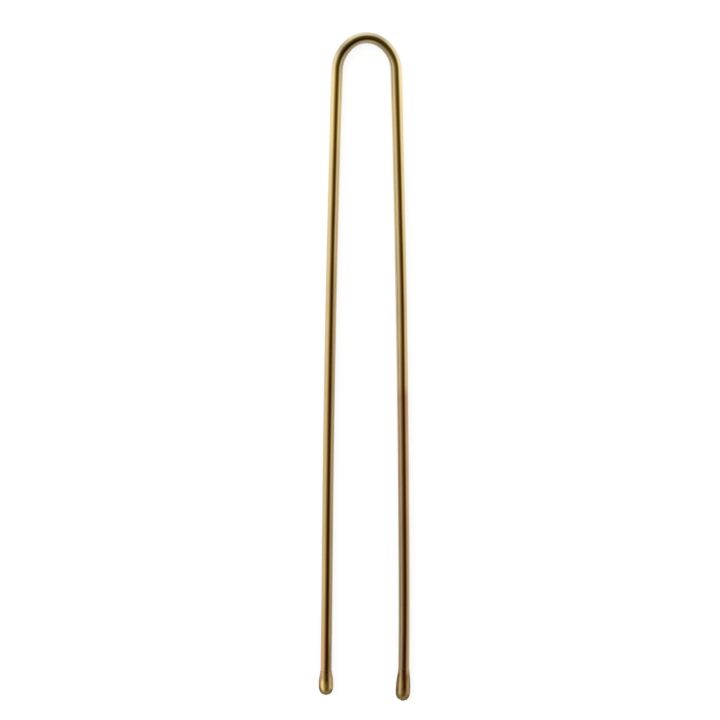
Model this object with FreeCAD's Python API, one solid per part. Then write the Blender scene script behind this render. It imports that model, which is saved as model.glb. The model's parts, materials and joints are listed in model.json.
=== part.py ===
import FreeCAD, Part
import math
import os
from FreeCAD import Vector

# A long U-shaped hairpin, lying flat. One round spring wire is bent into a crown and two legs, and a
# drop of hard lacquer covers each wire end so that the pin slides over the scalp.
# Sizes are in millimetres. X runs across the pin, Y along it with the crown at the +Y end, Z is up.
# The origin is under the middle of the pin's outline, on the surface that the pin lies on.

# Wire
wire_diameter = 1.25
bend_top_radius = 2.9       # of the tight arc over the crown's top, to the middle of the wire
bend_top_turn_deg = 38.0    # how far that arc reaches to each side of the top
bend_side_radius = 4.0      # of the wider arc on each side, down to the leg
left_leg_length = 69.30     # down the wire, from the end of the crown's bend to the cut end
right_leg_length = 69.92
root_splay_deg = 1.68       # how far each leg leans out where it leaves the bend
bow_radius = 2450.0         # of each leg, which curves gently back towards the other

# Flexing: the wire is parted where each leg swings, a short way down from the bend
shoulder_length = 8.0       # the stretch of each leg that stays with the crown
spread_limit_deg = 8.0      # how far a leg springs outwards
seam_clearance = 0.02       # what is left between the two cut faces at that limit

# Drops on the wire ends
left_drop_flare = 1.50      # from the drop's upper edge down, over which it swells to its full width
right_drop_flare = 2.30
left_drop_sag = -0.03       # how far its middle set inwards of the wire's cut end; this one, outwards
right_drop_sag = 0.15
drop_lip = 0.03             # thickness of the upper edge, where the lacquer thins out on the wire
drop_swell = 0.195          # how far the full width stands out from the wire
drop_land = 0.25            # parallel stretch below the flare, down to the cut end of the wire
drop_nose = 0.93            # rounded end below the wire
drip_radius = 0.20          # the little point where the last lacquer dripped off
drip_height = 0.07
flare_start_share = 0.30    # of the flare's length, over which it leaves the wire
flare_end_share = 0.55      # of the flare's length, over which it eases into the land
quarter_turn_share = 0.5523     # of a radius, the handle that makes a curve a quarter of an ellipse

wire_radius = wire_diameter / 2
root_splay = math.radians(root_splay_deg)
bend_top_turn = math.radians(bend_top_turn_deg)
seam_gap = wire_radius * math.sin(math.radians(spread_limit_deg)) + seam_clearance

LEFT = -1
RIGHT = 1
BEND_CENTRE = Vector(0, 0, 0)
UP = Vector(0, 0, 1)
ALONG_PIN = Vector(0, 1, 0)


def leg_splay(along):
    """Outward angle of a leg's centreline at a length down the wire from the bend, in radians."""
    return root_splay - along / bow_radius


def leg_heading(side, along):
    """Unit vector down a leg at that length; side is LEFT or RIGHT."""
    splay = leg_splay(along)
    return Vector(side * math.sin(splay), -math.cos(splay), 0)


def bend_side_centre(side):
    """Centre of the wider arc on one side of the bend, which runs on smoothly from the top arc."""
    towards_join = Vector(side * math.sin(bend_top_turn), math.cos(bend_top_turn), 0)
    return BEND_CENTRE + towards_join * (bend_top_radius - bend_side_radius)


def bow_centre(side):
    """Centre of the arc that a leg's centreline follows."""
    across = Vector(side * math.cos(root_splay), math.sin(root_splay), 0)
    return bend_side_centre(side) + across * (bend_side_radius - bow_radius)


def leg_point(side, along):
    """Point on a leg's centreline at that length."""
    splay = leg_splay(along)
    return bow_centre(side) + Vector(side * math.cos(splay), math.sin(splay), 0) * bow_radius


def swept_wire(start, heading, centre, angle):
    """Round wire that leaves start along heading and turns through angle about centre."""
    section = Part.Face(Part.Wire(Part.makeCircle(wire_radius, start, heading)))
    return section.revolve(centre, UP, math.degrees(angle))


def leg_wire(side, top, bottom):
    """The stretch of a leg between two lengths down the wire."""
    angle = -side * (bottom - top) / bow_radius
    return swept_wire(leg_point(side, top), leg_heading(side, top), bow_centre(side), angle)


def bend_side(side):
    """The wider arc of the bend, from a leg up to the top arc."""
    angle = side * (math.pi / 2 - bend_top_turn - root_splay)
    return swept_wire(leg_point(side, 0), leg_heading(side, 0), bend_side_centre(side), angle)


def bend_top():
    """The tight arc over the top of the bend, from its right end to its left."""
    towards_join = Vector(math.sin(bend_top_turn), math.cos(bend_top_turn), 0)
    heading = Vector(math.cos(bend_top_turn), -math.sin(bend_top_turn), 0)
    return swept_wire(BEND_CENTRE + towards_join * bend_top_radius, heading, BEND_CENTRE, 2 * bend_top_turn)


def make_crown():
    """The bend, with the first stretch of both legs."""
    sides = [bend_side(side) for side in (LEFT, RIGHT)]
    shoulders = [leg_wire(side, 0, shoulder_length) for side in (LEFT, RIGHT)]
    return bend_top().multiFuse(sides + shoulders).removeSplitter()


def make_leg(side, length):
    """The swinging stretch of a leg, down to the cut end."""
    return leg_wire(side, shoulder_length + seam_gap, length)


def curve(*points):
    """Smooth edge that leaves its first point towards the second, and comes to its last from the third."""
    bezier = Part.BezierCurve()
    bezier.setPoles([Vector(x, y, 0) for x, y in points])
    return bezier.toShape()


def quarter_ellipse(inner, outer, top, bottom):
    """Edge that falls from the outer radius at the top and rounds in to the inner radius at the bottom."""
    across = (outer - inner) * quarter_turn_share
    down = (bottom - top) * quarter_turn_share
    return curve((outer, top), (outer, top + down), (inner + across, bottom), (inner, bottom))


def round_end(radius, height, top):
    """Edge of a low dome, centred on the axis, that ends the drop."""
    dome_radius = (radius ** 2 + height ** 2) / (2 * height)
    centre = Vector(0, top - height + dome_radius, 0)
    dome = Part.Circle(centre, UP, dome_radius)
    return Part.Arc(dome, -math.pi / 2, -math.acos(radius / dome_radius)).toShape()


def drop_outline(flare):
    """Half of a drop's section as a face: its axis runs down -Y from the middle of its upper edge."""
    lip = wire_radius + drop_lip
    full = wire_radius + drop_swell
    land_end = -flare - drop_land
    nose_end = land_end - drop_nose
    drip_end = nose_end - drip_height
    flared = curve((lip, 0), (lip, -flare * flare_start_share),
                   (full, -flare * (1 - flare_end_share)), (full, -flare))
    parallel = Part.makeLine(Vector(full, -flare, 0), Vector(full, land_end, 0))
    rounded = quarter_ellipse(drip_radius, full, land_end, nose_end)
    drip = round_end(drip_radius, drip_height, nose_end)
    axis = Part.makeLine(Vector(0, drip_end, 0), Vector(0, 0, 0))
    edge = Part.makeLine(Vector(0, 0, 0), Vector(lip, 0, 0))
    return Part.Face(Part.Wire([flared, parallel, rounded, drip, axis, edge]))


def drop_axis(side, length, flare, sag):
    """Middle of a drop's upper edge, and the angle about Z that turns its axis from -Y."""
    covered = flare + drop_land
    top = length - covered
    lean = math.atan2(sag, covered)
    return leg_point(side, top), side * (leg_splay(top) - lean)


def make_tip(side, leg, length, flare, sag):
    """A drop, with the wire's end in it."""
    drop = drop_outline(flare).revolve(Vector(0, 0, 0), ALONG_PIN, 360)
    top, turn = drop_axis(side, length, flare, sag)
    drop.rotate(Vector(0, 0, 0), UP, math.degrees(turn))
    drop.translate(top)
    return drop.cut(leg)


def origin_of(shapes):
    """Bottom centre of the box round the whole pin."""
    box = Part.makeCompound(shapes).optimalBoundingBox(False, False)
    return Vector(box.Center.x, box.Center.y, box.ZMin)


crown = make_crown()
left_leg = make_leg(LEFT, left_leg_length)
right_leg = make_leg(RIGHT, right_leg_length)
left_tip = make_tip(LEFT, left_leg, left_leg_length, left_drop_flare, left_drop_sag)
right_tip = make_tip(RIGHT, right_leg, right_leg_length, right_drop_flare, right_drop_sag)

nodes = {
    "crown": crown,
    "left_leg": left_leg,
    "right_leg": right_leg,
    "left_tip": left_tip,
    "right_tip": right_tip,
}
origin = origin_of(list(nodes.values()))

os.makedirs("parts", exist_ok=True)
for name, shape in nodes.items():
    shape.translate(-origin)
    shape.exportStep(f"parts/{name}.step")
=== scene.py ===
import json
import math

import bpy
import numpy as np
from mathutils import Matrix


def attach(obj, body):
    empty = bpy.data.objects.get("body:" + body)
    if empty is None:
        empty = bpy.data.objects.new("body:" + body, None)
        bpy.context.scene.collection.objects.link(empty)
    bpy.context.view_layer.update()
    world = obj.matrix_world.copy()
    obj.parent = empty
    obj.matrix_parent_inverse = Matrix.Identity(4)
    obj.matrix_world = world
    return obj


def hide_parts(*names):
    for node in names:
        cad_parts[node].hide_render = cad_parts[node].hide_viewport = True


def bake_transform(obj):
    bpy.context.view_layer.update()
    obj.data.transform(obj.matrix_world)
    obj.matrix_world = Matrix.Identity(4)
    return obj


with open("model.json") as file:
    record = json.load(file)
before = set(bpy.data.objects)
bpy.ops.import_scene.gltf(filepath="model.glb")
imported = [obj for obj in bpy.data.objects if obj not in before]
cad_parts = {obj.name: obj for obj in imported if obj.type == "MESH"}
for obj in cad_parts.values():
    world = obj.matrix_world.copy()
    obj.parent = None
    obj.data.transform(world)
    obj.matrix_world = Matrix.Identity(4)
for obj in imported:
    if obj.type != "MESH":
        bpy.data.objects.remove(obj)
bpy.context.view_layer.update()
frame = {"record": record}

# A gold-plated U hairpin, lying flat on a white floor and seen from straight above.
# The pin's own lengths are in millimetres, and MM turns them into the scene's metres. The stage around it
# is laid out in metres.
MM = 0.001

# Wire, as the solids have it
WIRE_RADIUS = 0.625
BEND_TOP_RADIUS = 2.9       # of the tight arc over the top of the bend
BEND_TOP_TURN = math.radians(38.0)
BEND_SIDE_RADIUS = 4.0      # of the wider arcs beside it
ROOT_SPLAY = math.radians(1.68)     # how far each leg leans out where it leaves the bend
BOW_RADIUS = 2450.0
LEFT = -1
RIGHT = 1
LEG_LENGTH = {LEFT: 69.30, RIGHT: 69.92}
SIDE_NAME = {LEFT: "left", RIGHT: "right"}
UP = np.array([0.0, 0.0, 1.0])

mounts = {mount["name"]: mount for mount in frame["record"]["mounts"]}
BEND_CENTRE = np.array(mounts["crown_hook"]["pos_m"]) / MM - np.array([0.0, BEND_TOP_RADIUS, 0.0])

# How far each leg strays to the left towards its tip, by the square of the length down from where it starts
STRAY = 0.058
STRAY_START = 56.0
STRAY_LENGTH = 12.0

# Where the one wire of the real pin is parted into pieces
SEAM = 0.3                  # from the end of the bend, where nothing moves yet

# Mesh steps
SIDES = 72
LEG_STEP = 0.25
BEND_STEPS = 132
FLARE_STEPS = 26
NOSE_STEPS = 24

ANGLES = np.arange(SIDES) * (2 * math.pi / SIDES)


def smooth(low, high, value):
    """0 below low, 1 above high, and an even ease between them."""
    share = np.clip((value - low) / (high - low), 0.0, 1.0)
    return share * share * (3 - 2 * share)


def direction(turn):
    """Unit vector at an angle from the top of the bend, positive to the right."""
    return np.array([math.sin(turn), math.cos(turn), 0.0])


def bend_side_centre(side):
    return BEND_CENTRE + direction(side * BEND_TOP_TURN) * (BEND_TOP_RADIUS - BEND_SIDE_RADIUS)


def leg_splay(along):
    """Outward angle of a leg at a length down the wire from the bend."""
    return ROOT_SPLAY - along / BOW_RADIUS


def leg_outward(side, along):
    """Unit vector across a leg's wire, away from the other leg."""
    splay = leg_splay(along)
    return np.array([side * math.cos(splay), math.sin(splay), 0.0])


def leg_point(side, along):
    """Middle of the wire at a length down a leg from the bend."""
    bow_centre = bend_side_centre(side) + leg_outward(side, 0) * (BEND_SIDE_RADIUS - BOW_RADIUS)
    stray = STRAY * max(0.0, (along - STRAY_START) / STRAY_LENGTH) ** 2
    return bow_centre + leg_outward(side, along) * BOW_RADIUS - np.array([stray, 0.0, 0.0])


# A station on the wire is its middle, the way it faces outwards, and its place: the signed length from the
# top of the bend, positive down the right leg.


def bend_station(turn):
    """The station where the bend faces outwards at that angle from its top."""
    outward = direction(turn)
    if abs(turn) <= BEND_TOP_TURN:
        return BEND_CENTRE + outward * BEND_TOP_RADIUS, outward, turn * BEND_TOP_RADIUS
    side = math.copysign(1, turn)
    beyond = abs(turn) - BEND_TOP_TURN
    place = side * (BEND_TOP_TURN * BEND_TOP_RADIUS + beyond * BEND_SIDE_RADIUS)
    return bend_side_centre(side) + outward * BEND_SIDE_RADIUS, outward, place


ROOT_TURN = math.pi / 2 - ROOT_SPLAY
HALF_BEND = bend_station(ROOT_TURN)[2]      # of wire, from the top of the bend to its end


def leg_station(side, along):
    """The station at a length down a leg from the bend."""
    return leg_point(side, along), leg_outward(side, along), side * (HALF_BEND + along)


# How far the hand-bent wire is off round. Each stop is a place and a share of the radius: drawn out along a
# slope that rises outwards, and widened flat.
OUT_OF_ROUND = [(-75.0, 0.0), (-42.0, -0.012), (-20.0, 0.010), (-8.0, 0.028), (0.0, 0.0), (8.0, 0.026),
                (20.0, 0.062), (31.0, 0.080), (43.0, 0.032), (67.0, 0.036), (73.0, 0.012)]
FLATTENED = [(-75.0, 0.0), (-14.0, 0.0), (-8.0, 0.045), (-3.5, 0.035), (0.0, 0.0), (3.0, -0.01),
             (7.0, 0.045), (13.0, 0.0), (75.0, 0.0)]

# Darker patches, partly stains and partly painted shade, such as the painted shadow on the outer flank of
# the bend's left shoulder; first those on the bend. Each is a place and the half length, then the angle
# round from outwards to up and the half angle, and how much of the colour it takes.
STAINS_AND_SHADE = [(-3.0, 1.5, 88.0, 50.0, 0.40), (-1.5, 2.2, 116.0, 30.0, 0.50), (2.7, 2.2, 114.0, 30.0, 0.30),
          (1.3, 1.4, 58.0, 32.0, 0.25), (-2.8, 1.5, 35.0, 45.0, 0.18),
          (20.0, 13.0, 98.0, 14.0, 0.34), (-36.0, 14.0, 121.0, 18.0, 0.28), (-72.0, 3.6, 118.0, 22.0, 0.45)]
STAIN_AND_SHADE_SOFT = 0.8            # share of each patch over which it fades at its edge


def eased(stops, place):
    """A value that eases from each stop to the next."""
    for (low, low_value), (high, high_value) in zip(stops, stops[1:]):
        if place <= high:
            return low_value + (high_value - low_value) * smooth(low, high, place)
    return stops[-1][1]


def wire_ring(middle, outward, place):
    """One ring of the wire at a station, and the same ring on the wire laid straight."""
    radius = WIRE_RADIUS * (1 + eased(OUT_OF_ROUND, place) * np.sin(2 * ANGLES))
    across = radius * np.cos(ANGLES) * (1 + eased(FLATTENED, place))
    up = radius * np.sin(ANGLES)
    ring = middle + across[:, None] * outward + up[:, None] * UP
    straight = np.stack([across, up, np.full(SIDES, place)], axis=1)
    return ring, straight


def new_object(name, data):
    made = bpy.data.objects.new(name, data)
    bpy.context.scene.collection.objects.link(made)
    return made


def tube(name, rings, outward_faces, tip=None):
    """A mesh of rings with a flat face over each end, or with its last end drawn to a tip."""
    points = np.concatenate([ring for ring, _ in rings])
    straight = np.concatenate([flat for _, flat in rings])
    last = (len(rings) - 1) * SIDES
    faces = []
    for row in range(0, last, SIDES):
        for step in range(SIDES):
            a = row + step
            b = row + (step + 1) % SIDES
            faces.append((a, b, b + SIDES, a + SIDES))
    faces.append(tuple(reversed(range(SIDES))))
    flat_ends = [range(SIDES)]
    last_ring = range(last, last + SIDES)
    if tip is None:
        faces.append(tuple(last_ring))
        flat_ends.append(last_ring)
    else:
        points = np.vstack([points, tip[0]])
        straight = np.vstack([straight, tip[1]])
        for step in range(SIDES):
            faces.append((last_ring[step], last_ring[(step + 1) % SIDES], last + SIDES))
    if not outward_faces:
        faces = [face[::-1] for face in faces]

    mesh = bpy.data.meshes.new(name)
    mesh.from_pydata((points * MM).tolist(), [], faces)
    mesh.update()
    mesh.polygons.foreach_set("use_smooth", [len(face) != SIDES for face in faces])
    sharp = mesh.attributes.new("sharp_edge", "BOOLEAN", "EDGE")
    for edge in mesh.edges:
        a, b = edge.vertices
        sharp.data[edge.index].value = any(a in ring and b in ring for ring in flat_ends)
    laid = mesh.attributes.new("wire_place", "FLOAT_VECTOR", "POINT")
    laid.data.foreach_set("vector", straight.astype(np.float32).ravel())
    return new_object(name, mesh)


def laid_straight(piece):
    """How far each point is out, up and along, with the wire laid straight."""
    return np.array([item.vector for item in piece.data.attributes["wire_place"].data]).T


def mark_points(piece, name, values):
    piece.data.attributes.new(name, "FLOAT", "POINT").data.foreach_set("value", values)


def make_wire(name, stations, outward_faces):
    """A piece of the wire, with how much of its colour the stains and painted shade leave on each point."""
    wire = tube(name, [wire_ring(*station) for station in stations], outward_faces)
    out, up, along = laid_straight(wire)
    angles = np.degrees(np.arctan2(up, out))
    kept = np.ones(len(along))
    for place, half_length, angle, half_angle, depth in STAINS_AND_SHADE:
        away = np.hypot((along - place) / half_length, (angles - angle) / half_angle)
        kept *= 1 - depth * smooth(0.0, STAIN_AND_SHADE_SOFT, 1 - away)
    mark_points(wire, "stain_and_shade_kept", kept)
    return wire


def make_crown_wire():
    stations = [leg_station(LEFT, along) for along in (SEAM, SEAM / 2)]
    stations += [bend_station(turn) for turn in np.linspace(-ROOT_TURN, ROOT_TURN, BEND_STEPS + 1)]
    stations += [leg_station(RIGHT, along) for along in (SEAM / 2, SEAM)]
    return make_wire("crown_wire", stations, True)


def make_leg_wire(side):
    steps = round((LEG_LENGTH[side] - SEAM) / LEG_STEP)
    stations = [leg_station(side, along) for along in np.linspace(SEAM, LEG_LENGTH[side], steps + 1)]
    return make_wire(SIDE_NAME[side] + "_leg_wire", stations, side == RIGHT)


# Drops, with the solids' length, width and nose, and a thinner lip. Each has the length of its flare, how
# far its middle set inwards of the wire's cut end, how far outwards of that middle its crest stands, and how
# far to the right the last of it ran.
DROP = {
    LEFT: {"flare": 1.50, "sag": 0.0, "crest": 0.0, "run": 0.0},
    RIGHT: {"flare": 2.30, "sag": 0.10, "crest": 0.09, "run": 0.08},
}
DROP_SWELL = 0.195          # how far the full width stands out from the wire
DROP_LAND = 0.25            # parallel stretch below the flare
DROP_NOSE = 0.93
DROP_LIP = 0.018            # where the lacquer thins out on the wire
LIP_ROUND = 0.012           # of the lip's edge
LIP_LEAN = 0.01             # how far the first handle of the flare's curve leans out
FLARE_HANDLES = (0.30, 0.45)    # shares of the flare's length at which the handles stand
SOCKET_OVERLAP = 0.006      # how far the socket's wall lies inside the wire
SOCKET_SHORT = 0.002        # how far short of the wire's end it stops
SOCKET_RISE = 0.010         # how far above the lip its wall ends
SOCKET_RING = 0.02          # how far below the lip its wall has one more ring
DRIP_RADIUS = 0.20
DRIP_HEIGHT = 0.07
DRIP_SHARES = (0.35, 0.65, 0.88)    # of its radius, where its rings are
RUN_START_SHARE = 0.7       # of the nose, from which down the last of it ran aside

# Where each drop gets a painted highlight, by its angle round from outwards to up and its distance down
# from the lip, with how far it reaches each way and how strong it is
HIGHLIGHT_SPOT = {
    LEFT: {"angle": 66.0, "half_angle": 27.0, "down": 1.64, "half_length": 0.92, "share": 1.0},
    RIGHT: {"angle": 118.0, "half_angle": 17.0, "down": 2.35, "half_length": 0.45, "share": 0.15},
}
HIGHLIGHT_EDGE = (0.25, 1.0)    # shares of that reach, between which it fades

# Where each drop is painted darker along its rims and nose, as painted shade, and where its lacquer is
# cloudy or reddened. Each mark has a kind and a strength. It comes and goes over two ranges across the drop,
# from -1 on its right to 1 on its left, and over two ranges of the distance down from the lip. Marks of a
# kind add up.
FROM_START = (-9.0, -8.0)
TO_END = (8.0, 9.0)
LACQUER_MARKS = {
    LEFT: [
        ("left_rim_shade", 0.45, (0.55, 0.80), TO_END, (0.3, 1.2), TO_END),
        ("left_rim_shade", 0.40, (0.55, 0.80), TO_END, (1.4, 2.0), TO_END),
        ("right_rim_shade", 0.28, (-0.65, -0.40), (-0.12, 0.0), FROM_START, (0.8, 1.5)),
        ("nose", 0.90, FROM_START, TO_END, (1.7965, 2.215), TO_END),
        ("cloud", 1.00, (-0.40, -0.05), (0.25, 0.60), (1.00, 1.70), TO_END),
        ("red", 0.60, (-0.75, -0.45), (0.25, 0.55), FROM_START, (0.2, 0.9)),
    ],
    RIGHT: [
        ("left_rim_shade", 0.83, (0.54, 0.74), TO_END, (0.25, 0.65), TO_END),
        ("left_rim_shade", 0.17, (0.54, 0.74), TO_END, (1.9, 2.3), TO_END),
        ("right_rim_shade", 0.58, FROM_START, (-0.60, -0.10), (-0.1, 0.9), TO_END),
        ("nose", 0.648, FROM_START, TO_END, (2.5965, 3.015), TO_END),
        ("nose", 0.252, (-0.4, 0.3), TO_END, (2.5965, 3.015), TO_END),
        ("cloud", 0.50, (-0.60, -0.25), (0.05, 0.40), (1.80, 2.80), TO_END),
        ("red", 1.00, (-0.75, -0.45), (0.25, 0.55), FROM_START, (0.9, 1.9)),
        ("red", 0.50, FROM_START, (0.1, 0.5), (2.55, 2.922), TO_END),
    ],
}
EDGES_ABOVE = (-0.95, -0.15)    # height on the drop, in radii, over which the painted shade on the edges comes in


def bezier(poles, share):
    a, b, c, d = poles
    rest = 1 - share
    return a * rest ** 3 + 3 * b * rest ** 2 * share + 3 * c * rest * share ** 2 + d * share ** 3


def drop_profile(side):
    """Radius and distance down the drop's axis, from inside its socket, over its lip, to its last ring."""
    full = WIRE_RADIUS + DROP_SWELL
    lip = WIRE_RADIUS + DROP_LIP
    socket = WIRE_RADIUS - SOCKET_OVERLAP
    flare = DROP[side]["flare"]
    covered = flare + DROP_LAND
    nose_end = covered + DROP_NOSE
    profile = [(socket, covered - SOCKET_SHORT), (socket, SOCKET_RING), (socket, -SOCKET_RISE),
               (lip - LIP_ROUND, -LIP_ROUND), (lip, 0.0)]
    for share in np.linspace(0, 1, FLARE_STEPS + 1)[1:]:
        radius = bezier((lip, lip + LIP_LEAN, full, full), share)
        down = bezier((0.0, flare * FLARE_HANDLES[0], flare * FLARE_HANDLES[1], flare), share)
        profile.append((radius, down))
    profile += [(full, flare + DROP_LAND / 2), (full, covered)]
    for turn in np.linspace(0, math.pi / 2, NOSE_STEPS + 1)[1:]:
        radius = DRIP_RADIUS + (full - DRIP_RADIUS) * math.cos(turn)
        profile.append((radius, covered + DROP_NOSE * math.sin(turn)))
    for share in DRIP_SHARES:
        profile.append((DRIP_RADIUS * (1 - share), nose_end + DRIP_HEIGHT * (1 - (1 - share) ** 2)))
    return profile


def window(value, comes, goes):
    """0, then 1, then 0 again, with an ease over each of two ranges."""
    return smooth(*comes, value) * (1 - smooth(*goes, value))


def mark_lacquer(drop, side):
    """Marks on each point the painted shade on the rims and nose, the painted highlight, and how cloudy and
    reddened the lacquer is.
    """
    out, up, down = laid_straight(drop)
    angles = np.arctan2(up, out)
    leftward = -side * np.cos(angles)
    marks = dict.fromkeys(("left_rim_shade", "right_rim_shade", "nose", "cloud", "red"), 0.0)
    for kind, strength, comes, goes, starts, ends in LACQUER_MARKS[side]:
        marks[kind] = marks[kind] + strength * window(leftward, comes, goes) * window(down, starts, ends)
    above = smooth(*EDGES_ABOVE, np.sin(angles))
    # painted shade on the rims and nose
    left_out = (1 - above * marks["left_rim_shade"]) * (1 - above * marks["right_rim_shade"]) * (1 - marks["nose"])
    # the painted highlight
    spot = HIGHLIGHT_SPOT[side]
    away = np.hypot((np.degrees(angles) - spot["angle"]) / spot["half_angle"],
                    (down - spot["down"]) / spot["half_length"])
    mark_points(drop, "painted_rim_shade", 1 - left_out)
    mark_points(drop, "painted_highlight", spot["share"] * (1 - smooth(*HIGHLIGHT_EDGE, away)))
    mark_points(drop, "lacquer_cloud", marks["cloud"])
    mark_points(drop, "lacquer_red", marks["red"])


def make_drop(side):
    sizes = DROP[side]
    covered = sizes["flare"] + DROP_LAND
    end = covered + DROP_NOSE + DRIP_HEIGHT
    top_along = LEG_LENGTH[side] - covered
    top = leg_point(side, top_along)
    turn = side * (leg_splay(top_along) - math.atan2(sizes["sag"], covered))
    axis = np.array([math.sin(turn), -math.cos(turn), 0.0])
    outward = side * np.array([-axis[1], axis[0], 0.0])
    run = np.array([sizes["run"], 0.0, 0.0])
    rings = []
    for radius, down in drop_profile(side):
        across = radius * np.cos(ANGLES)
        up = radius * np.sin(ANGLES)
        crested = across + sizes["crest"] * (radius - WIRE_RADIUS) / DROP_SWELL * np.sin(ANGLES) ** 2
        middle = top + axis * down + run * smooth(covered + RUN_START_SHARE * DROP_NOSE, end, down)
        ring = middle + crested[:, None] * outward + up[:, None] * UP
        rings.append((ring, np.stack([across, up, np.full(SIDES, down)], axis=1)))
    tip = (top + axis * end + run, np.array([0.0, 0.0, end]))
    drop = tube(SIDE_NAME[side] + "_drop", rings, side == RIGHT, tip)
    mark_lacquer(drop, side)
    return drop


# Shader nodes


def add(tree, kind, inputs=None, **settings):
    """A node with its settings, and its inputs linked or set."""
    made = tree.nodes.new(kind)
    for name, value in settings.items():
        setattr(made, name, value)
    for socket, value in (inputs or {}).items():
        connect(tree, made.inputs[socket], value)
    return made


def connect(tree, socket, value):
    """Links an input to another node's output, or sets it to a plain value."""
    if isinstance(value, bpy.types.NodeSocket):
        tree.links.new(value, socket)
    else:
        socket.default_value = value


def new_material(name):
    material = bpy.data.materials.new(name)
    material.use_nodes = True
    tree = material.node_tree
    tree.nodes.clear()
    output = tree.nodes.new("ShaderNodeOutputMaterial")
    return material, tree, output.inputs["Surface"]


def attribute(tree, name, output="Fac"):
    """What is marked on each point under that name."""
    return add(tree, "ShaderNodeAttribute", attribute_name=name).outputs[output]


def parts_of(tree, vector):
    """The X, Y and Z of a vector."""
    return tuple(add(tree, "ShaderNodeSeparateXYZ", {0: vector}).outputs)


def calculated(tree, operation, *values):
    return add(tree, "ShaderNodeMath", dict(enumerate(values)), operation=operation).outputs[0]


def spread(tree, value, taken, given=(0.0, 1.0), easing="LINEAR"):
    """A value brought from one range to another, and kept inside it."""
    sockets = {"Value": value, "From Min": taken[0], "From Max": taken[1],
               "To Min": given[0], "To Max": given[1]}
    return add(tree, "ShaderNodeMapRange", sockets, interpolation_type=easing).outputs[0]


def ramp(tree, value, stops):
    """A colour that runs evenly from each stop to the next. Each stop is a value and its colour."""
    low, high = stops[0][0], stops[-1][0]
    made = add(tree, "ShaderNodeValToRGB", {0: spread(tree, value, (low, high))})
    elements = made.color_ramp.elements
    for element, stop in zip(elements, (stops[0], stops[-1])):
        element.position = (stop[0] - low) / (high - low)
        element.color = (*stop[1], 1)
    for at, colour in stops[1:-1]:
        elements.new((at - low) / (high - low)).color = (*colour, 1)
    return made.outputs["Color"]


def mixed(tree, share, a, b, blend="MIX"):
    """Two colours mixed or blended by a share."""
    made = add(tree, "ShaderNodeMix", data_type="RGBA", blend_type=blend)
    inputs = {item.identifier: item for item in made.inputs}
    connect(tree, inputs["Factor_Float"], share)
    connect(tree, inputs["A_Color"], a)
    connect(tree, inputs["B_Color"], b)
    return next(item for item in made.outputs if item.identifier == "Result_Color")


def toned(tree, colour, *shares):
    """A colour made lighter or darker by each of the shares."""
    for share in shares:
        grey = add(tree, "ShaderNodeCombineColor", {"Red": share, "Green": share, "Blue": share})
        colour = mixed(tree, 1.0, colour, grey.outputs[0], "MULTIPLY")
    return colour


def noise(tree, place, around, along, detail, roughness=0.5):
    """Noise with so many features to a millimetre round the wire and along it."""
    scaled = add(tree, "ShaderNodeVectorMath", {0: place, 1: (around, around, along)}, operation="MULTIPLY")
    return add(tree, "ShaderNodeTexNoise", {"Vector": scaled.outputs[0], "Scale": 1.0, "Detail": detail,
                                            "Roughness": roughness}).outputs["Fac"]


NOISE_RANGE = (0.3, 0.7)    # that nearly all of a noise lies in
FACING_OUT = (-0.16, 0.16)  # millimetres outwards of the wire's middle, from the inner look to the outer


def facing_out(tree, out):
    """0 on the side that faces the other leg, and 1 on the side that faces out."""
    return spread(tree, out, FACING_OUT, easing="SMOOTHSTEP")


# Gold plating down the wire from the top of the bend, on the side that faces out and on the side between
# the legs, which is painted darker there as shade. Each stop is millimetres down the wire and a colour.
OUTER_GOLD = [(0.0, (0.72, 0.65, 0.48)), (5.0, (0.85, 0.71, 0.45)), (9.0, (0.85, 0.70, 0.38)),
              (31.0, (0.65, 0.495, 0.27)), (54.0, (0.595, 0.445, 0.235)), (76.0, (0.595, 0.445, 0.235))]
INNER_SHADED_GOLD = [(0.0, (0.40, 0.33, 0.21)), (5.0, (0.52, 0.43, 0.25)), (9.0, (0.71, 0.565, 0.30)),
              (32.0, (0.53, 0.41, 0.23)), (68.0, (0.36, 0.265, 0.155)), (76.0, (0.36, 0.265, 0.155))]

# What the painted shade round the bend leaves of that, by place
BEND_SHADE = [(-6.0, 1.0), (-3.0, 0.75), (-0.8, 1.0), (1.8, 0.80), (5.0, 1.0)]

# The coppery outer side of the left leg's end: its colour, the places it comes over and how strong it gets
COPPERY = (0.62, 0.38, 0.22, 1)
COPPERY_PLACES = (-64.0, -71.0)
COPPERY_SHARE = 0.8

# What is left of the gold where the right leg has reddened along its top, by place, from a sharp edge down.
# The red comes and goes over two ranges across the wire, in millimetres outwards of its middle. Some of it
# stays on both sides, and on the inside that is less further down.
REDDENED = [(40.8, (1.0, 1.0, 1.0)), (42.2, (0.72, 0.52, 0.60)), (47.0, (0.80, 0.69, 0.76)),
            (62.0, (0.60, 0.53, 0.60)), (73.0, (0.64, 0.58, 0.68))]
RED_COMES = (-0.12, 0.32)
RED_GOES = (0.36, 0.56)
RED_OUTSIDE = 0.4
RED_INSIDE = (0.5, 0.1)
RED_INSIDE_PLACES = (52.0, 64.0)

# Drawing lines, worn patches and pits in the plating
LINES = {"around": 13.0, "along": 0.12, "detail": 3.0, "roughness": 0.6}
LINE_TONES = (0.94, 1.06)
LINE_ROUGHNESS = (0.08, 0.13)
LINE_DEPTH = 0.01           # millimetres
LINE_STRENGTH = 0.10
PATCHES = {"around": 0.5, "along": 0.16, "detail": 2.0}
PATCH_TONES = (0.93, 1.07)
WORN_RANGE = (0.35, 0.7)    # of the patches' noise
WORN_ROUGHNESS = 0.04       # that a worn patch adds
PITS = {"around": 9.0, "along": 6.0, "detail": 1.0}
PIT_RANGE = (0.66, 0.74)    # of the pits' noise, from level to pitted
PIT_TONE = 0.8
PIT_DEPTH = 0.004           # millimetres
PIT_STRENGTH = 0.25


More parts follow.
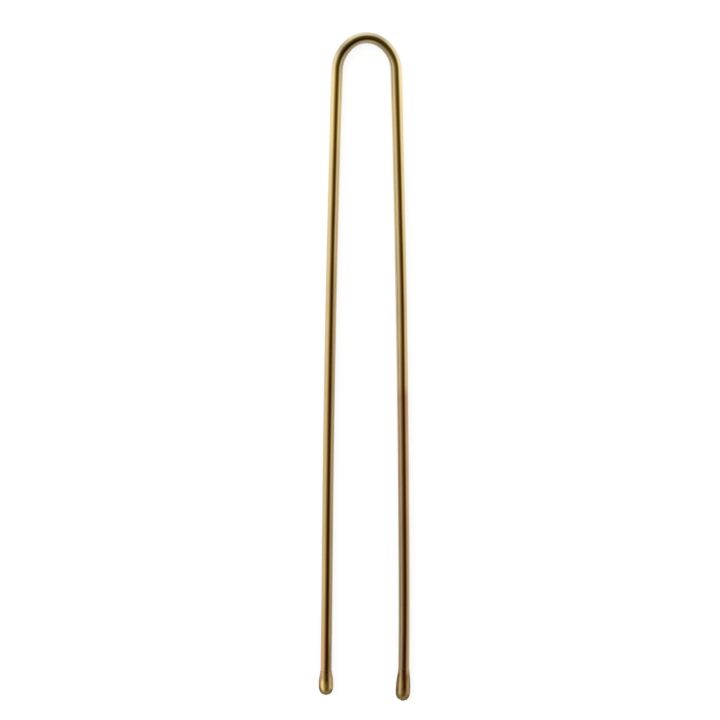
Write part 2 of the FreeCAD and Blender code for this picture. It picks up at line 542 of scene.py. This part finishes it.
def plated_wire():
    material, tree, surface = new_material("plated_wire")
    place = attribute(tree, "wire_place", "Vector")
    out, _, along = parts_of(tree, place)
    down = calculated(tree, "ABSOLUTE", along)
    coppery = spread(tree, along, COPPERY_PLACES, (0.0, COPPERY_SHARE))
    outer = mixed(tree, coppery, ramp(tree, down, OUTER_GOLD), COPPERY)
    # the side between the legs gets the darker gold, painted shade
    gold = mixed(tree, facing_out(tree, out), ramp(tree, down, INNER_SHADED_GOLD), outer)
    # painted shade round the bend
    bend_shade = ramp(tree, along, [(at, (kept, kept, kept)) for at, kept in BEND_SHADE])
    gold = mixed(tree, 1.0, gold, bend_shade, "MULTIPLY")
    # stains, and painted shade such as on the bend
    gold = toned(tree, gold, attribute(tree, "stain_and_shade_kept"))

    red_inside = spread(tree, along, RED_INSIDE_PLACES, RED_INSIDE)
    red_comes = spread(tree, out, RED_COMES, (red_inside, 1.0), "SMOOTHSTEP")
    red_goes = spread(tree, out, RED_GOES, (1.0, RED_OUTSIDE), "SMOOTHSTEP")
    reddened = mixed(tree, 1.0, gold, ramp(tree, along, REDDENED), "MULTIPLY")
    gold = mixed(tree, calculated(tree, "MULTIPLY", red_comes, red_goes), gold, reddened)

    lines = noise(tree, place, **LINES)
    patches = noise(tree, place, **PATCHES)
    pitted = spread(tree, noise(tree, place, **PITS), PIT_RANGE)
    gold = toned(tree, gold, spread(tree, lines, NOISE_RANGE, LINE_TONES),
                 spread(tree, patches, NOISE_RANGE, PATCH_TONES),
                 spread(tree, pitted, (0.0, 1.0), (1.0, PIT_TONE)))
    rough = calculated(tree, "ADD", spread(tree, lines, NOISE_RANGE, LINE_ROUGHNESS),
                       spread(tree, patches, WORN_RANGE, (0.0, WORN_ROUGHNESS)))
    drawn = add(tree, "ShaderNodeBump", {"Height": lines, "Strength": LINE_STRENGTH,
                                         "Distance": LINE_DEPTH * MM})
    bumps = add(tree, "ShaderNodeBump", {"Height": pitted, "Strength": PIT_STRENGTH,
                                         "Distance": PIT_DEPTH * MM,
                                         "Normal": drawn.outputs[0]}, invert=True)
    shader = add(tree, "ShaderNodeBsdfPrincipled", {"Base Color": gold, "Metallic": 1.0,
                                                    "Roughness": rough,
                                                    "Specular Tint": (1.0, 0.97, 0.9, 1),
                                                    "Normal": bumps.outputs[0]})
    connect(tree, surface, shader.outputs[0])
    return material


# Lacquer. Where it thins out at the lip the wire shows through it, on its inner and its outer side.
THIN_INSIDE = (0.40, 0.26, 0.15, 1)
THIN_OUTSIDE = (0.48, 0.34, 0.20, 1)
THIN_RANGE = (0.1, 1.1)     # millimetres down from the lip, from thin to full
LACQUER = (0.54, 0.395, 0.195, 1)
CLOUDY = (0.60, 0.36, 0.05, 1)
# painted shade on the drops' rims and nose
RIM_SHADE = (0.16, 0.115, 0.04, 1)
RED_KEPT = (0.66, 0.45, 0.50, 1)    # what the red leaves of a colour
# painted highlight on the drops
HIGHLIGHT = (0.92, 0.66, 0.28, 1)
CLOUDY_METAL = 0.80         # how much of the metallic glint the cloudy lacquer keeps
CLOUDS = {"around": 1.6, "along": 1.2, "detail": 2.0}
CLOUD_TONES = (0.90, 1.10)
CLOUD_ROUGHNESS = (0.11, 0.17)
FLAKES = {"around": 22.0, "along": 22.0, "detail": 1.0}
FLAKE_RANGE = (0.35, 0.65)  # of the flakes' noise
FLAKE_TONES = (0.95, 1.05)
PEEL = {"around": 2.6, "along": 2.0, "detail": 1.0}
PEEL_DEPTH = 0.02           # millimetres
PEEL_STRENGTH = 0.15


def gold_lacquer():
    material, tree, surface = new_material("gold_lacquer")
    place = attribute(tree, "wire_place", "Vector")
    out, _, down = parts_of(tree, place)
    cloud = attribute(tree, "lacquer_cloud")
    thin = mixed(tree, facing_out(tree, out), THIN_INSIDE, THIN_OUTSIDE)
    tone = mixed(tree, spread(tree, down, THIN_RANGE, (1.0, 0.0)), LACQUER, thin)
    tone = mixed(tree, cloud, tone, CLOUDY)
    # painted shade on the drops' rims and nose
    tone = mixed(tree, attribute(tree, "painted_rim_shade"), tone, RIM_SHADE)
    tone = mixed(tree, attribute(tree, "lacquer_red"), tone, mixed(tree, 1.0, tone, RED_KEPT, "MULTIPLY"))
    # painted highlight
    tone = mixed(tree, attribute(tree, "painted_highlight"), tone, HIGHLIGHT)

    clouds = noise(tree, place, **CLOUDS)
    flakes = noise(tree, place, **FLAKES)
    peel = noise(tree, place, **PEEL)
    tone = toned(tree, tone, spread(tree, clouds, NOISE_RANGE, CLOUD_TONES),
                 spread(tree, flakes, FLAKE_RANGE, FLAKE_TONES))
    rough = spread(tree, clouds, NOISE_RANGE, CLOUD_ROUGHNESS)
    metal = spread(tree, cloud, (0.0, 1.0), (1.0, CLOUDY_METAL))
    bump = add(tree, "ShaderNodeBump", {"Height": peel, "Strength": PEEL_STRENGTH,
                                        "Distance": PEEL_DEPTH * MM})
    shader = add(tree, "ShaderNodeBsdfPrincipled", {"Base Color": tone, "Metallic": metal,
                                                    "Roughness": rough,
                                                    "Specular Tint": (0.42, 0.34, 0.18, 1),
                                                    "Coat Weight": 0.15, "Coat Roughness": 0.06,
                                                    "Normal": bump.outputs[0]})
    connect(tree, surface, shader.outputs[0])
    return material


# The pin


def dress(piece, material, node):
    """What a piece is made of, and which solid it stands for."""
    piece.data.materials.append(material)
    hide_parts(node)


wire_material = plated_wire()
lacquer_material = gold_lacquer()

crown_wire = make_crown_wire()
dress(crown_wire, wire_material, "crown")
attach(crown_wire, "crown")

for side in (LEFT, RIGHT):
    leg = SIDE_NAME[side] + "_leg"
    leg_wire = make_leg_wire(side)
    dress(leg_wire, wire_material, leg)
    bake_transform(leg_wire)
    drop = make_drop(side)
    dress(drop, lacquer_material, SIDE_NAME[side] + "_tip")
    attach(drop, leg)


# Stage, in metres
FLOOR_HALF = 1.5
FLOOR_DEPTH = 0.00002       # under the surface that the pin lies on
FLOOR_PAPER = 0.24          # how much light the floor gives back, with the pin's shadow in it
FLOOR_GLOW = 0.80           # what the camera, reflections and refractions see on top of that
WORLD_LIGHT = 0.85          # that falls on things from the white surround
LAMP_PLACE = (-0.35, 0.25, 0.6)
LAMP_TILT = (math.radians(-21), math.radians(-30), 0)
LAMP_SIZE = 0.5
LAMP_POWER = 1.2
CAMERA_FROM_BEND = np.array([-0.68, -33.3407, 450.0])   # from the bend's centre, in millimetres
CAMERA_ROLL = 0.0020        # radians
CAMERA_LENS = 200
CAMERA_SENSOR = 36

# The dark card over the pin, through which the camera looks. Its reflection runs down the middle of the
# wire. The card is dark brown in the middle and graded out to white, and only reflections show it.
CARD_HEIGHT = 0.30
CARD_MIDDLE = 0.057
CARD_REACH = 0.65           # of the card, out from its dark middle
CARD_LOW = -0.06            # Y from which, and up to which, the middle is dark
CARD_HIGH = 0.15
CARD_LOW_NARROWING = 0.88   # of how fast it fades to the sides, at its lower end
CARD_CORE = [(-0.06, (0.042, 0.0, 0.0)), (-0.02, (0.086, 0.028, 0.0)), (0.02, (0.062, 0.024, 0.0)),
             (0.053, (0.086, 0.047, 0.0)), (0.0563, (0.125, 0.088, 0.0)), (0.0611, (0.076, 0.062, 0.0))]
CARD_FADE = [(0.0, (0.0, 0.0, 0.0)), (0.09, (0.045, 0.028, 0.004)), (0.165, (0.22, 0.165, 0.06)),
             (0.26, (0.53, 0.46, 0.31)), (0.48, (1.0, 1.0, 1.0)), (0.65, (1.0, 1.0, 1.0))]


def seen_ray(tree):
    """1 for what the camera, a reflection or a refraction sees, and 0 for light that falls on things."""
    path = add(tree, "ShaderNodeLightPath").outputs
    both = calculated(tree, "MAXIMUM", path["Is Camera Ray"], path["Is Glossy Ray"])
    return calculated(tree, "MAXIMUM", both, path["Is Transmission Ray"])


def quad(name, corners, height, material):
    """One flat face of the stage."""
    mesh = bpy.data.meshes.new(name)
    mesh.from_pydata([(x, y, height) for x, y in corners], [], [(0, 1, 2, 3)])
    mesh.materials.append(material)
    made = new_object(name, mesh)
    return made


def make_floor():
    material, tree, surface = new_material("floor_white")
    paper = add(tree, "ShaderNodeBsdfDiffuse", {"Color": (FLOOR_PAPER, FLOOR_PAPER, FLOOR_PAPER, 1)})
    strength = calculated(tree, "MULTIPLY", seen_ray(tree), FLOOR_GLOW)
    glow = add(tree, "ShaderNodeEmission", {"Color": (1, 1, 1, 1), "Strength": strength})
    both = add(tree, "ShaderNodeAddShader", {0: paper.outputs[0], 1: glow.outputs[0]})
    connect(tree, surface, both.outputs[0])
    corners = [(-FLOOR_HALF, -FLOOR_HALF), (FLOOR_HALF, -FLOOR_HALF), (FLOOR_HALF, FLOOR_HALF),
               (-FLOOR_HALF, FLOOR_HALF)]
    quad("floor", corners, -FLOOR_DEPTH, material)


def card_colour(tree, x, y):
    """The card's colour at a place on it: its dark core, fading out away from its middle."""
    narrowing = spread(tree, y, (CARD_LOW, 0.0), (CARD_LOW_NARROWING, 1.0))
    aside = calculated(tree, "MULTIPLY", calculated(tree, "SUBTRACT", x, CARD_MIDDLE), narrowing)
    below = calculated(tree, "MAXIMUM", calculated(tree, "SUBTRACT", CARD_LOW, y), 0.0)
    above = calculated(tree, "MAXIMUM", calculated(tree, "SUBTRACT", y, CARD_HIGH), 0.0)
    beyond = calculated(tree, "ADD", below, above)
    squares = [calculated(tree, "MULTIPLY", length, length) for length in (aside, beyond)]
    away = calculated(tree, "SQRT", calculated(tree, "ADD", *squares))
    return mixed(tree, 1.0, ramp(tree, y, CARD_CORE), ramp(tree, away, CARD_FADE), "SCREEN")


def make_card():
    material, tree, surface = new_material("overhead_card")
    x, y, _ = parts_of(tree, add(tree, "ShaderNodeTexCoord").outputs["Object"])
    glow = add(tree, "ShaderNodeEmission", {"Color": card_colour(tree, x, y)})
    connect(tree, surface, glow.outputs[0])
    left, right = CARD_MIDDLE - CARD_REACH, CARD_MIDDLE + CARD_REACH
    low, high = CARD_LOW - CARD_REACH, CARD_HIGH + CARD_REACH
    corners = [(left, low), (left, high), (right, high), (right, low)]
    card = quad("overhead_card", corners, CARD_HEIGHT, material)
    card.visible_camera = False
    card.visible_diffuse = False
    card.visible_shadow = False
    card.visible_transmission = False


def make_world():
    world = bpy.data.worlds.new("studio")
    bpy.context.scene.world = world
    world.use_nodes = True
    tree = world.node_tree
    tree.nodes.clear()
    strength = spread(tree, seen_ray(tree), (0.0, 1.0), (WORLD_LIGHT, 1.0))
    sky = add(tree, "ShaderNodeBackground", {"Color": (1, 1, 1, 1), "Strength": strength})
    add(tree, "ShaderNodeOutputWorld", {"Surface": sky.outputs[0]})


def make_lamp():
    light = bpy.data.lights.new("softbox", "AREA")
    light.shape = "SQUARE"
    light.size = LAMP_SIZE
    light.energy = LAMP_POWER
    lamp = new_object("softbox", light)
    lamp.location = LAMP_PLACE
    lamp.rotation_euler = LAMP_TILT
    lamp.visible_glossy = False


def make_camera():
    """A camera that looks straight down."""
    camera_data = bpy.data.cameras.new("camera")
    camera_data.lens = CAMERA_LENS
    camera_data.sensor_width = CAMERA_SENSOR
    camera = new_object("camera", camera_data)
    camera.location = tuple((BEND_CENTRE + CAMERA_FROM_BEND) * MM)
    camera.rotation_euler = (0, 0, CAMERA_ROLL)
    bpy.context.scene.camera = camera


make_floor()
make_card()
make_world()
make_lamp()
make_camera()
bpy.context.scene.view_settings.view_transform = "Standard"
